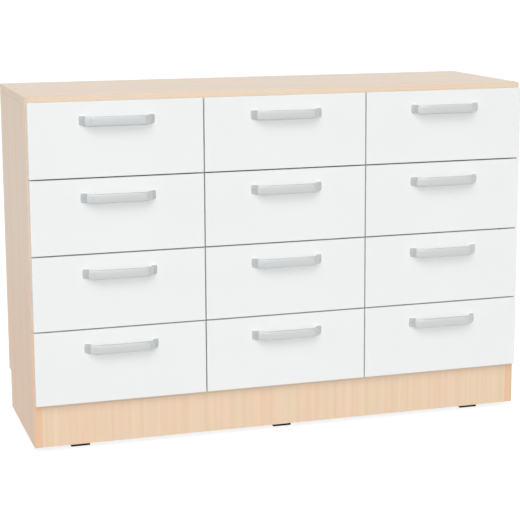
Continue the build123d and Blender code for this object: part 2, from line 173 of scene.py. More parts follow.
def end_finish(material, inputs, height, depth_mm):
    """Ends a material in a Principled shader with a fine relief of that depth."""
    tree = material.node_tree
    relief = add_node(tree, "ShaderNodeBump", {"Height": height, "Distance": depth_mm * MM})
    shader = add_node(tree, "ShaderNodeBsdfPrincipled", {"IOR": 1.5, **inputs,
                                                         "Normal": relief.outputs["Normal"]})
    add_node(tree, "ShaderNodeOutputMaterial", {"Surface": shader.outputs[0]})
    return material


def seen_directly(tree):
    """1 where the camera, a gloss or glass looks at it, 0 for the light that it casts on things."""
    ray = add_node(tree, "ShaderNodeLightPath").outputs
    seen = maths(tree, "MAXIMUM", ray["Is Camera Ray"], ray["Is Glossy Ray"])
    return maths(tree, "MAXIMUM", seen, ray["Is Transmission Ray"])


def assign(node_name, material):
    """Gives a CAD node one material in its own slots."""
    mesh_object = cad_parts[node_name]
    if not mesh_object.material_slots:
        mesh_object.data.materials.append(material)
    for entry in mesh_object.material_slots:
        entry.link = "OBJECT"
        entry.material = material


def board_mm(name):
    """The lowest and highest corners of a CAD node, in millimetres."""
    low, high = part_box(name)
    return Vector(low) / MM, Vector(high) / MM


def linked(name, data):
    """A new object of the scene."""
    made = bpy.data.objects.new(name, data)
    bpy.context.scene.collection.objects.link(made)
    return made


def as_mesh(form, name):
    """The mesh of a bmesh with its faces turned outwards, or a mesh as it is."""
    if isinstance(form, bpy.types.Mesh):
        return form
    bmesh.ops.recalc_face_normals(form, faces=form.faces)
    mesh = bpy.data.meshes.new(name)
    form.to_mesh(mesh)
    form.free()
    return mesh


def applied(holder):
    """The plain mesh that an object's modifiers make, in place of the object."""
    graph = bpy.context.evaluated_depsgraph_get()
    made = bpy.data.meshes.new_from_object(holder.evaluated_get(graph))
    bpy.data.objects.remove(holder)
    return made


def finish_piece(name, form, material, body, slot, *nodes):
    """Makes a form in millimetres a piece that rides on a body and stands for CAD nodes."""
    mesh = as_mesh(form, name)
    mesh.transform(Matrix.Scale(MM, 4))
    mesh.shade_smooth()
    mesh.set_sharp_from_angle(angle=CREASE)
    mesh.materials.clear()
    mesh.materials.append(material)
    piece = linked(name, mesh)
    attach(piece, body)
    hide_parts(*nodes)


def add_board(form, low, high, edge=0.6):
    """Adds a board between two corners, with eased edges."""
    corners = bmesh.ops.create_cube(form, size=2)["verts"]
    for corner in corners:
        corner.co = [high[i] if corner.co[i] > 0 else low[i] for i in range(3)]
    edges = list({line for corner in corners for line in corner.link_edges})
    bmesh.ops.bevel(form, geom=edges, offset=edge, segments=2, profile=0.5, affect="EDGES")


def add_rings(form, rings):
    """Adds a skin over rings of points, with a face over each end."""
    made = [[form.verts.new(point) for point in ring] for ring in rings]
    count = len(made[0])
    for one, two in zip(made, made[1:]):
        for i in range(count):
            j = (i + 1) % count
            form.faces.new((one[i], one[j], two[j], two[i]))
    form.faces.new(reversed(made[0]))
    form.faces.new(made[-1])


def turned(radius, height, steps, start=0.0):
    """A level ring of points about the z axis."""
    return [Vector((radius * math.cos(start + math.tau * i / steps),
                    radius * math.sin(start + math.tau * i / steps), height)) for i in range(steps)]


def add_turned(form, profile, steps):
    """Adds a round form about the z axis from (radius, height) pairs."""
    add_rings(form, [turned(radius, height, steps) for radius, height in profile])


def rounded(corner, before, after, radius, steps):
    """The points of the arc that rounds a corner between its two neighbours."""
    corner, before, after = Vector(corner), Vector(before), Vector(after)
    one, two = (before - corner).normalized(), (after - corner).normalized()
    half = one.angle(two) / 2
    centre = corner + (one + two).normalized() * (radius / math.sin(half))
    reach = radius / math.tan(half)
    start, end = corner + one * reach - centre, corner + two * reach - centre
    return [centre + start.slerp(end, i / steps) for i in range(steps + 1)]


def add_plate(form, half, radius, steps, levels):
    """Adds a level square plate with rounded corners, its half width and height given at each level."""
    corners = [(half, half), (-half, half), (-half, -half), (half, -half)]
    outline = []
    for i, corner in enumerate(corners):
        outline += rounded(corner, corners[i - 1], corners[(i + 1) % 4], radius, steps)
    add_rings(form, [[Vector((reach / half * point.x, reach / half * point.y, height)) for point in outline]
                     for reach, height in levels])


def new_tree(name, inputs):
    """A Geometry Nodes tree with a geometry input and output, more named inputs and a material."""
    tree = bpy.data.node_groups.new(name, "GeometryNodeTree")
    tree.interface.new_socket("Geometry", in_out="OUTPUT", socket_type="NodeSocketGeometry")
    for label, kind in {"Geometry": "Geometry", **inputs, "Finish": "Material"}.items():
        tree.interface.new_socket(label, in_out="INPUT", socket_type=f"NodeSocket{kind}")
    return tree, add_node(tree, "NodeGroupInput").outputs


def end_tree(tree, geometry, finish):
    """Ends a tree in real geometry with its material."""
    real = add_node(tree, "GeometryNodeRealizeInstances", {"Geometry": geometry})
    done = add_node(tree, "GeometryNodeSetMaterial", {"Geometry": real.outputs[0], "Material": finish})
    add_node(tree, "NodeGroupOutput", {"Geometry": done.outputs[0]})
    return tree


def on_points(tree, points, instance, **inputs):
    """A shape set on every point."""
    return add_node(tree, "GeometryNodeInstanceOnPoints", {"Points": points, "Instance": instance,
                                                           **inputs}).outputs[0]


def copies_tree():
    """Sets a copy of a shape on every point, turned by the point's own turn."""
    tree, given = new_tree("set_copies", {"Shape": "Object"})
    shape = add_node(tree, "GeometryNodeObjectInfo", {"Object": given["Shape"]})
    turn = add_node(tree, "GeometryNodeInputNamedAttribute", {"Name": "turn"}, data_type="FLOAT_VECTOR")
    turn = add_node(tree, "FunctionNodeEulerToRotation", {"Euler": turn.outputs["Attribute"]})
    copies = on_points(tree, given["Geometry"], shape.outputs["Geometry"], Rotation=turn.outputs[0])
    return end_tree(tree, copies, given["Finish"])


def balls_tree():
    """Sets a row of balls along +Y from every point."""
    tree, given = new_tree("ball_rows", {"Diameter": "Float", "Pitch": "Float", "Balls": "Int"})
    radius = maths(tree, "MULTIPLY", given["Diameter"], 0.5)
    ball = add_node(tree, "GeometryNodeMeshUVSphere", {"Segments": 8, "Rings": 6, "Radius": radius})
    step = add_node(tree, "ShaderNodeCombineXYZ", {"Y": given["Pitch"]})
    line = add_node(tree, "GeometryNodeMeshLine", {"Count": given["Balls"], "Offset": step.outputs[0]})
    row = on_points(tree, line.outputs[0], ball.outputs["Mesh"])
    return end_tree(tree, on_points(tree, given["Geometry"], row), given["Finish"])


def ribs_tree():
    """Sets a ring of upright ribs about every point."""
    tree, given = new_tree("rib_ring", {"Ribs": "Int", "Radius": "Float", "Depth": "Float",
                                        "Width": "Float", "Height": "Float"})
    size = add_node(tree, "ShaderNodeCombineXYZ", {"X": given["Depth"], "Y": given["Width"],
                                                   "Z": given["Height"]})
    rib = add_node(tree, "GeometryNodeMeshCube", {"Size": size.outputs[0]})
    ring = add_node(tree, "GeometryNodeMeshCircle", {"Vertices": given["Ribs"], "Radius": given["Radius"]})
    outwards = add_node(tree, "GeometryNodeInputPosition")
    facing = add_node(tree, "FunctionNodeAlignRotationToVector", {"Vector": outwards.outputs[0]}, axis="X",
                      pivot_axis="Z")
    ribs = on_points(tree, ring.outputs[0], rib.outputs["Mesh"], Rotation=facing.outputs[0])
    return end_tree(tree, on_points(tree, given["Geometry"], ribs), given["Finish"])


def grow(tree, places, values, turns=None):
    """Runs a Geometry Nodes tree on a set of points and gives the plain mesh that it makes."""
    points = bpy.data.meshes.new("points")
    points.from_pydata([tuple(place) for place in places], [], [])
    if turns is not None:
        facing = points.attributes.new("turn", "FLOAT_VECTOR", "POINT")
        facing.data.foreach_set("vector", [angle for turn in turns for angle in turn])
    holder = linked("holder", points)
    modifier = holder.modifiers.new("tree", "NODES")
    modifier.node_group = tree
    for item in tree.interface.items_tree:
        if item.in_out == "INPUT" and item.name in values:
            modifier[item.identifier] = values[item.name]
    return applied(holder)


def set_copies(shape, places, turns, finish):
    """The mesh of a shape, a bmesh or a mesh, repeated at places with turns."""
    pattern = linked("pattern", as_mesh(shape, "shape"))
    made = grow(copies_tree(), places, {"Shape": pattern, "Finish": finish}, turns)
    bpy.data.objects.remove(pattern)
    return made


def cross_screw(head_radius, head_height, shank_radius, length, recess=0.6):
    """A pan head screw or cam with a cross recess, its head's bearing face at z 0 and its head up."""
    steps, start = 12, math.radians(15)
    arm = 0.62 * head_radius
    slot = arm * math.tan(start)
    outline = []
    for quarter in range(4):
        spin = Matrix.Rotation(quarter * QUARTER, 2)
        outline += [(spin @ Vector(corner)).to_3d() for corner in ((arm, slot), (slot, slot), (slot, arm))]
    profile = [(head_radius, 0), (head_radius, 0.5 * head_height), (0.78 * head_radius, 0.92 * head_height)]
    if length:
        profile = [(0.5 * shank_radius, -length), (shank_radius, shank_radius - length),
                   (shank_radius, 0)] + profile
    rings = [turned(radius, height, steps, start) for radius, height in profile]
    rings += [[scale * corner + height * UP for corner in outline]
              for scale, height in ((1, head_height), (0.75, (1 - recess) * head_height))]
    form = bmesh.new()
    add_rings(form, rings)
    return form


def runner_member(depth, height, lip, holes):
    """A slide member rolled from steel strip: its back on x 0, opening towards +X, along +Y.

    The holes in its web are rounds or slots (y, z, length, diameter).
    """
    # The strip's middle line, which gets its thickness at the end
    top = height / 2 - STRIP / 2
    side = rounded((STRIP / 2, top), (STRIP / 2, 0), (depth, top), STRIP, 4)[1:]
    if lip:
        far = depth - STRIP / 2
        side += rounded((far, top), (0, top), (far, 0), STRIP, 4)
        side.append(Vector((far, height / 2 - STRIP - lip)))
    else:
        side.append(Vector((depth, top)))
    edge = top - STRIP
    corners = ((0, -edge), (SLIDE_LENGTH, -edge), (SLIDE_LENGTH, edge), (0, edge))
    web = [[Vector((y, z, 0)) for y, z in corners]]
    for y, z, reach, diameter in holes:
        half = (reach - diameter) / 2
        web.append([Vector((y + math.copysign(half, point.x) + point.x, z + point.y, 0))
                    for point in turned(diameter / 2, 0, 16, math.tau / 32)])
    form = bmesh.new()
    points = [form.verts.new((STRIP / 2, point.x, point.y)) for loop in web for point in loop]
    for triangle in tessellate_polygon(web):
        form.faces.new([points[i] for i in triangle])
    for sign, ends in ((1, (points[3], points[2])), (-1, (points[0], points[1]))):
        for place in side:
            pair = [form.verts.new((place.x, y, sign * place.y)) for y in (0, SLIDE_LENGTH)]
            form.faces.new((ends[0], ends[1], pair[1], pair[0]))
            ends = pair
    strip = linked("strip", as_mesh(form, "member"))
    thick = strip.modifiers.new("wall", "SOLIDIFY")
    thick.thickness = STRIP
    thick.offset = 0
    thick.use_even_offset = True
    return applied(strip)


def colour_property(name, description, code):
    return FloatVectorProperty(name=name, description=description, subtype="COLOR", size=4,
                               default=colour(code))


def share_property(name, description, value):
    return FloatProperty(name=name, description=description, min=0, max=1, default=value)


def length_property(name, description, metres):
    return FloatProperty(name=name, description=description, unit="LENGTH", default=metres)


def angle_property(name, description, degrees):
    return FloatProperty(name=name, description=description, subtype="ANGLE", default=math.radians(degrees))


def number_property(name, description, value):
    return FloatProperty(name=name, description=description, default=value)


class BoardFinish(bpy.types.PropertyGroup):
    light: colour_property("Light grain", "Palest tone of the printed maple", "F1D9BE")
    middle: colour_property("Middle grain", "Main tone of the printed maple", "EBCFB3")
    dark: colour_property("Dark grain", "Deepest tone of the printed maple", "E0C2A2")
    rosy: colour_property("Rosy tint", "Tint of the print's pinker stretches", "FFFBFC")
    straw: colour_property("Straw tint", "Tint of the print's yellower stretches", "FBFFFD")
    band: colour_property("Edge band tint", "Tint of the bands on the boards' front edges", "F3F9FF")
    # Painted shade: the low tint darkens and warms the outer sides near the floor, where they reflect less
    # of the floor's light
    low: colour_property("Low tint", "Tint of the outer sides near the floor", "FAECE1")
    chip: colour_property("Chipboard", "Main tone of the raw chipboard edges", "C9A67C")
    back: colour_property("Back panel", "Tone of the hardboard's fibres", "D8C4A6")
    gloss: share_property("Roughness", "Roughness of the upright faces' resin film", 0.34)
    top_gloss: share_property("Top roughness", "Roughness of the level faces' harder film", 0.27)


class FrontFinish(bpy.types.PropertyGroup):
    face: colour_property("Face", "White of the drawer fronts", "EFF1F0")
    gloss: share_property("Roughness", "Roughness of the white film", 0.34)


class MetalFinish(bpy.types.PropertyGroup):
    handle: colour_property("Handle", "Satin silver of the handles", "CACDCE")
    handle_gloss: share_property("Handle roughness", "Roughness of the satin coat", 0.66)
    steel: colour_property("Runner steel", "Zinc plated steel of the runners", "C3C6C8")


class HandleSizes(bpy.types.PropertyGroup):
    hole_spacing: length_property("Hole spacing", "Distance between a handle's screws", 0.16)
    projection: length_property("Projection", "How far a handle stands off its front", 0.028)
    bar: length_property("Bar", "Thickness of a handle's bar", 0.0055)
    height: length_property("Height", "Height of a handle", 0.021)
    crown: length_property("Crown", "How much a handle's face is crowned", 0.0011)


class FootSizes(bpy.types.PropertyGroup):
    foot_size: length_property("Foot size", "Width and depth of a foot's square plate", 0.045)


class Studio(bpy.types.PropertyGroup):
    eye: FloatVectorProperty(name="Camera", description="Place of the camera", subtype="XYZ",
                             unit="LENGTH", default=(-1.1116, -3.5758, 1.1235))
    yaw: angle_property("Yaw", "Turn of the view to the right of +Y", 18.09)
    pitch: angle_property("Pitch", "Tilt of the view below the horizon", 9.967)
    roll: angle_property("Roll", "Turn of the view about its own axis", -0.136)
    lens: number_property("Lens", "Focal length in millimetres on a 36 mm frame", 107.25)
    shift: FloatVectorProperty(name="Shift", description="Lens shift, as shares of the frame",
                               size=2, default=(-0.0478, -0.06565))
    sky: number_property("Room light", "Strength of the even light of the white room", 0.3)
    key: number_property("Front light", "Strength of the wide lamp above the front", 1.21)
    key_height: angle_property("Lamp height", "Angle of the front lamp above the horizon", 38)
    key_side: angle_property("Lamp side", "Angle of the front lamp to the left of the front", 20)
    key_width: angle_property("Lamp width", "Angle that each distant lamp fills", 44)
    fill: number_property("Fill light", "Strength of the lamp behind the camera", 1.27)
    side_fill: number_property("Side light", "Strength of the lamp at each side", 0.71)
    back_fill: number_property("Back light", "Strength of the lamp above and behind", 0.43)
    floor: colour_property("Floor", "Colour of the floor", "9E9E9E")
    floor_lift: number_property("Floor lift", "Light added to the floor that the camera sees", 0.83)


def maple_laminate(grain):
    """Melamine-faced chipboard: a printed maple film, pressed satin, with streaks along axis grain.

    The print is a pale, even wood with soft streaks, growth lines and short flecks. The edges are
    banded but for the rear and lower ones, which show the chipboard.
    """
    finish = bpy.context.scene.chest_boards
    material, tree, in_mm = start_finish(f"maple_melamine_laminate_grain_{'xyz'[grain]}")

    def along(length, width):
        """Coordinates in cells of that length along the grain and width across it, in mm."""
        cell = [1 / width] * 3
        cell[grain] = 1 / length
        return stretched(tree, in_mm, cell)

    streaks = noise(tree, along(900, 17), roughness=0.6)
    # The print's fibres are about 0.4 mm wide, drawn five times as wide so that they show
    fibres = noise(tree, along(70, 2.1), detail=3.0, roughness=0.65)
    growth = add_node(tree, "ShaderNodeTexWave", {"Vector": along(1500, 42), "Scale": 1.0,
                                                  "Distortion": 3.2, "Detail Scale": 1.4},
                      wave_type="RINGS", rings_direction="XYZ"[grain], wave_profile="SAW")
    # Flecks 4 mm long: the real ones are 0.3 mm wide, drawn twice as wide
    cells = add_node(tree, "ShaderNodeTexVoronoi", {"Vector": along(11, 1.8), "Scale": 1.0})
    flecks = spread(tree, cells.outputs["Distance"], 0.0, 1.0, start=0.3, end=0.12)
    tone = 0.2
    for value, weight in ((streaks, 0.5), (fibres, 0.08), (growth.outputs["Fac"], 0.09), (flecks, -0.1)):
        tone = maths(tree, "MULTIPLY_ADD", value, weight, tone)
    grain_colour = ramp(tree, tone, (0.25, finish.dark), (0.5, finish.middle), (0.75, finish.light))
    # The print turns pinker and yellower every 40 mm or so across the grain
    drift = spread(tree, noise(tree, along(1100, 85), detail=1.0), 0.0, 1.0, start=0.35, end=0.65)
    tint = mixed(tree, drift, finish.rosy, finish.straw)

    x, y, z = add_node(tree, "ShaderNodeSeparateXYZ", {"Vector": in_mm}).outputs
    low, high = board_mm("plinth_board")
    # The 1 mm bands cover the front edges above the plinth, whose own face lies as far forward
    at_front = maths(tree, "LESS_THAN", y, low.y + 0.9)
    above = maths(tree, "GREATER_THAN", z, high.z + 0.5)
    tint = mixed(tree, maths(tree, "MULTIPLY", at_front, above), tint, finish.band)
    # Painted shade: the outer sides get warmer and darker from the middle down, standing in for the weaker
    # sheen of the floor's reflection low down
    outer = maths(tree, "GREATER_THAN", maths(tree, "ABSOLUTE", x), high.x - 0.5)
    tint = mixed(tree, spread(tree, z, 0.0, outer, start=520.0, end=130.0), tint, finish.low)
    # The grain's colour times the tints, the low tint's painted shade among them
    printed = mixed(tree, 1.0, grain_colour, tint, blend="MULTIPLY")
    # The joint of the edge band with the board's face
    joint = maths(tree, "COMPARE", y, low.y + 1.0, 0.25)
    face_colour = mixed(tree, joint, printed, finish.dark)

    # Raw edges at the back of the boards and under the sides
    flakes = add_node(tree, "ShaderNodeTexVoronoi", {"Vector": along(5, 2.2), "Scale": 1.0}).outputs
    flake_tone = add_node(tree, "ShaderNodeSeparateColor", {"Color": flakes["Color"]}).outputs[0]
    chip = shaded(tree, finish.chip, spread(tree, flake_tone, 0.55, 1.25))
    normal = add_node(tree, "ShaderNodeTexCoord").outputs["Normal"]
    facing_y, facing_z = add_node(tree, "ShaderNodeSeparateXYZ", {"Vector": normal}).outputs[1:]
    rear = maths(tree, "MULTIPLY", maths(tree, "GREATER_THAN", facing_y, 0.9),
                 maths(tree, "GREATER_THAN", y, 200.0))
    under = maths(tree, "MULTIPLY", maths(tree, "LESS_THAN", facing_z, -0.9),
                  maths(tree, "LESS_THAN", z, 12.0))
    raw = maths(tree, "MAXIMUM", rear, under)
    level = maths(tree, "GREATER_THAN", facing_z, 0.9)
    film = maths(tree, "MULTIPLY_ADD", fibres, 0.06, between(tree, level, finish.gloss, finish.top_gloss))
    return end_finish(material, {"Base Color": mixed(tree, raw, face_colour, chip),
                                 "Roughness": between(tree, raw, film, 0.85)},
                      between(tree, raw, fibres, flakes["Distance"]), 0.03)


def white_laminate():
    """White melamine film, pressed to a fine pearl: an even white with a soft satin gloss."""
    finish = bpy.context.scene.chest_fronts
    material, tree, in_mm = start_finish("white_melamine_laminate")
    pearl = noise(tree, in_mm, 1.6)
    cloud = spread(tree, noise(tree, in_mm, 120, detail=1.0), 0.99, 1.01)
    return end_finish(material, {"Base Color": shaded(tree, finish.face, cloud),
                                 "Roughness": spread(tree, pearl, finish.gloss - 0.03, finish.gloss + 0.03)},
                      pearl, 0.015)


def satin_handle_metal():
    """Die-cast zinc, blasted and lacquered silver: soft broad highlights on a fine even grain."""
    finish = bpy.context.scene.chest_metals
    material, tree, in_mm = start_finish("satin_silver_zinc_casting")
    grit = noise(tree, in_mm, 0.5)
    rough = spread(tree, grit, finish.handle_gloss - 0.05, finish.handle_gloss + 0.05)
    return end_finish(material, {"Base Color": finish.handle, "Metallic": 1.0, "Roughness": rough},
                      grit, 0.008)


def zinc_steel():
    """Cold-rolled steel strip, roll-formed and zinc plated: a cool grey with fine lines along it."""
    finish = bpy.context.scene.chest_metals
    material, tree, in_mm = start_finish("zinc_plated_rolled_steel")
    # Rolling lines 0.3 mm wide and 60 mm long, drawn three times as wide
    rolled = noise(tree, stretched(tree, in_mm, (1 / 0.9, 1 / 60, 1 / 0.9)))
    tone = shaded(tree, finish.steel, spread(tree, rolled, 0.9, 1.1))
    return end_finish(material, {"Base Color": tone, "Metallic": 1.0,
                                 "Roughness": spread(tree, rolled, 0.24, 0.4)}, rolled, 0.01)


def black_plastic():
    """Injection-moulded polypropylene with a spark-eroded skin: near black and dull."""
    material, tree, in_mm = start_finish("black_moulded_polypropylene")
    skin = noise(tree, in_mm, 0.8)
    tone = ramp(tree, skin, (0.3, colour("0B0B0B")), (0.7, colour("151516")))
    return end_finish(material, {"Base Color": tone, "IOR": 1.49, "Specular IOR Level": 0.25,
                                 "Roughness": spread(tree, skin, 0.55, 0.7)}, skin, 0.03)


def beech_dowel():
    """Rolled beech, raw and a little pink, with a fine even grain."""
    material, tree, in_mm = start_finish("raw_beech")
    rays = noise(tree, in_mm, 1.5)
    tone = ramp(tree, rays, (0.3, colour("B98D63")), (0.7, colour("D9B48A")))
    return end_finish(material, {"Base Color": tone, "Roughness": 0.7}, rays, 0.05)


def back_hardboard():
    """Thin lacquered hardboard of pressed fibres."""
    finish = bpy.context.scene.chest_boards
    material, tree, in_mm = start_finish("lacquered_hardboard")
    fibres = noise(tree, in_mm, 5, detail=5.0, roughness=0.7)
    tone = shaded(tree, finish.back, spread(tree, fibres, 0.82, 1.18))
    return end_finish(material, {"Base Color": tone, "Roughness": 0.6}, fibres, 0.05)


class CHEST_OT_boards(bpy.types.Operator):
    """Gives the carcass boards their printed maple film"""
    bl_idname = "chest.boards"
    bl_label = "Carcass boards"

    def execute(self, context):
        lengthwise, upright = maple_laminate(0), maple_laminate(2)
        for name in ("top_board", "bottom_board"):
            assign(name, lengthwise)
        for name in (*UPRIGHTS, "plinth_board"):
            assign(name, upright)
        assign("back_panel", back_hardboard())
        return {"FINISHED"}


class CHEST_OT_fronts(bpy.types.Operator):
    """Gives the drawer fronts their white film"""
    bl_idname = "chest.fronts"
    bl_label = "Drawer fronts"

    def execute(self, context):
        white = white_laminate()
        for tag in TAGS:
            assign(f"drawer_front_{tag}", white)
        return {"FINISHED"}


def walls(tag):
    """The x of the two walls beside a drawer, each with the direction into its compartment."""
    column = int(tag[-1])
    return ((board_mm(UPRIGHTS[column - 1])[1].x, 1), (board_mm(UPRIGHTS[column])[0].x, -1))


def runner_height(tag):
    """The height of the middle of a drawer's slides."""
    return board_mm(f"drawer_front_{tag}")[0].z + SLIDE_RISE


def turn_to(direction):
    """The turn that takes +Z to a direction."""
    return tuple(Vector(direction).to_track_quat("Z", "Y").to_euler())


def handle_rings(sizes):
    """The sections of a bow handle from its left foot to its right one, about its base's middle."""
    half_base = (sizes.hole_spacing / MM + LEG_WIDTH) / 2
    half_bar = half_base - LEG_LEAN
    half_inner = half_bar - LEG_TIP
    half_height, crown = sizes.height / MM / 2, sizes.crown / MM
    shoulder = sizes.projection / MM - HANDLE_BOW
    inner_shoulder = shoulder - sizes.bar / MM
    face_rim, back_rim = 1.6, 1.3

    def on_arc(x, tip, depth):
        """A point of the bowed line that runs from -tip to tip."""
        return Vector((x, -depth - HANDLE_BOW * (1 - (x / tip) ** 2)))

    def rim(depth, radius, angles):
        """The points of a rounded edge of the section."""
        return [(depth + radius * math.cos(math.radians(angle)),
                 half_height - radius + radius * math.sin(math.radians(angle))) for angle in angles]

    outer, inner = [Vector((-half_base, 0))], [Vector((LEG_WIDTH - half_base, 0))]
    line = range(-60, 1, 12)
    outer += rounded((-half_bar, -shoulder), outer[0], on_arc(line[0], half_bar, shoulder), OUTER_BEND, 10)
    inner += rounded((-half_inner, -inner_shoulder), inner[0], on_arc(line[0], half_inner, inner_shoulder),
                     INNER_BEND, 10)
    outer += [on_arc(x, half_bar, shoulder) for x in line]
    inner += [on_arc(x, half_inner, inner_shoulder) for x in line]
    for side in (outer, inner):
        side += [Vector((-point.x, point.y)) for point in reversed(side[:-1])]
    rings = []
    for far, near in zip(outer, inner):
        thick = (far - near).length
        across = (far - near) / thick
        profile = [(thick - crown * (z / half_height) ** 2, z) for z in (0, 2.5, 5, half_height - face_rim)]
        profile += rim(thick - crown - face_rim, face_rim, (30, 60, 90))
        profile += rim(back_rim, back_rim, (90, 135, 180))
        profile += [(depth, -z) for depth, z in reversed(profile[1:])]
        rings.append([(near + across * depth).to_3d() + z * UP for depth, z in profile])
    return rings


class CHEST_OT_handles(bpy.types.Operator):
    """Casts the bow handles with their crowned faces, and their screws"""
    bl_idname = "chest.handles"
    bl_label = "Bow handles"

    def execute(self, context):
        sizes = context.scene.chest_handles
        silver, steel = satin_handle_metal(), zinc_steel()
        rings = handle_rings(sizes)
        half_spacing = sizes.hole_spacing / MM / 2
        for tag in TAGS:
            body, node = f"drawer_{tag}", f"drawer_handle_{tag}"
            low, high = board_mm(f"drawer_front_{tag}")
            base = Vector(((low.x + high.x) / 2, low.y, low.z + HANDLE_RISE))
            form = bmesh.new()
            add_rings(form, [[base + point for point in ring] for ring in rings])
            finish_piece(f"bow_handle_{tag}", form, silver, body, "handle_metal", node)
            places = [(base.x + side * half_spacing, high.y + BOX_BOARD, base.z) for side in (-1, 1)]
            screws = set_copies(cross_screw(*HANDLE_SCREW), places, [(-QUARTER, 0, 0)] * 2, steel)
            finish_piece(f"handle_screws_{tag}", screws, steel, body, "fitting_steel", node)
        return {"FINISHED"}


class CHEST_OT_boxes(bpy.types.Operator):
    """Builds the drawer boxes with their bases, screws and the members that they run on"""
    bl_idname = "chest.boxes"
    bl_label = "Drawer boxes"

    def execute(self, context):
        white, hardboard, steel, plastic = white_laminate(), back_hardboard(), zinc_steel(), black_plastic()
        member = runner_member(7.5, 23.0, 0, (
            (14, 0, 5, 5), (37, 0, 4, 4), (70, 0, 14, 5), (118, 0, 26, 8), (175, 0, 26, 8), (232, 0, 26, 8),
            (280, 0, 14, 5), (313, 0, 4, 4), (338, 0, 5, 5)))
        lever = [(46, -2.5), (50, -4), (76, -3), (90, -8), (103, -8.5), (105, -6), (93, -3), (80, 3.2),
                 (50, 4), (46, 2.5)]
        inner = BOX_HALF - BOX_BOARD
        groove, base_rise, base_thickness = inner + BASE_GROOVE, 12, 3
        inset_x, inset_z = 30, 32  # the box's front screws, from its inner corners
        start = board_mm("cabinet_slides")[0].y
        for tag in TAGS:
            body, node = f"drawer_{tag}", f"drawer_box_{tag}"
            low, high = board_mm(node)
            sides, height = walls(tag), runner_height(tag)
            centre = (sides[0][0] + sides[1][0]) / 2
            front = board_mm(f"drawer_front_{tag}")[1].y
            inside_y = front + BOX_BOARD, high.y - BOX_BOARD
            form = bmesh.new()
            for near, far in ((-BOX_HALF, -inner), (inner, BOX_HALF)):
                add_board(form, (centre + near, front, low.z), (centre + far, high.y, high.z))
            for near, far in ((front, inside_y[0]), (inside_y[1], high.y)):
                add_board(form, (centre - inner, near, low.z), (centre + inner, far, high.z))
            finish_piece(f"drawer_body_{tag}", form, white, body, "box_laminate", node)
            form = bmesh.new()
            base = low.z + base_rise
            add_board(form, (centre - groove, inside_y[0] - BASE_GROOVE, base),
                      (centre + groove, inside_y[1] + BASE_GROOVE, base + base_thickness), edge=0.3)
            finish_piece(f"drawer_base_{tag}", form, hardboard, body, "back_hardboard", node)

            places = [(wall + into * SLIDE_SPACE, start, height) for wall, into in sides]
            members = set_copies(member.copy(), places, [(0, HALF_TURN, 0), (0, 0, 0)], steel)
            finish_piece(f"drawer_runners_{tag}", members, steel, body, "slide_steel", node)
            holes = [(wall, into, start + y) for wall, into in sides for y in SLIDE_SCREWS]
            places = [(wall + into * (SLIDE_SPACE - STRIP), y, height) for wall, into, y in holes]
            turns = [(0, -into * QUARTER, 0) for wall, into, y in holes]
            form = bmesh.new()
            form.from_mesh(set_copies(cross_screw(*DRAWER_SLIDE_SCREW), places, turns, steel))
            places = [(centre + side * (inner - inset_x), inside_y[0], z) for side in (-1, 1)
                      for z in (low.z + inset_z, high.z - inset_z)]
            form.from_mesh(set_copies(cross_screw(*BOX_SCREW), places, [(-QUARTER, 0, 0)] * 4, steel))
            finish_piece(f"box_screws_{tag}", form, steel, body, "fitting_steel", node)

            form = bmesh.new()
            for wall, into in sides:
                add_rings(form, [[Vector((wall + into * x, start + y, height + z)) for y, z in lever]
                                 for x in (8.9, 9.2, 11.2, 11.4)])
            finish_piece(f"release_levers_{tag}", form, plastic, body, "black_plastic", node)
        return {"FINISHED"}


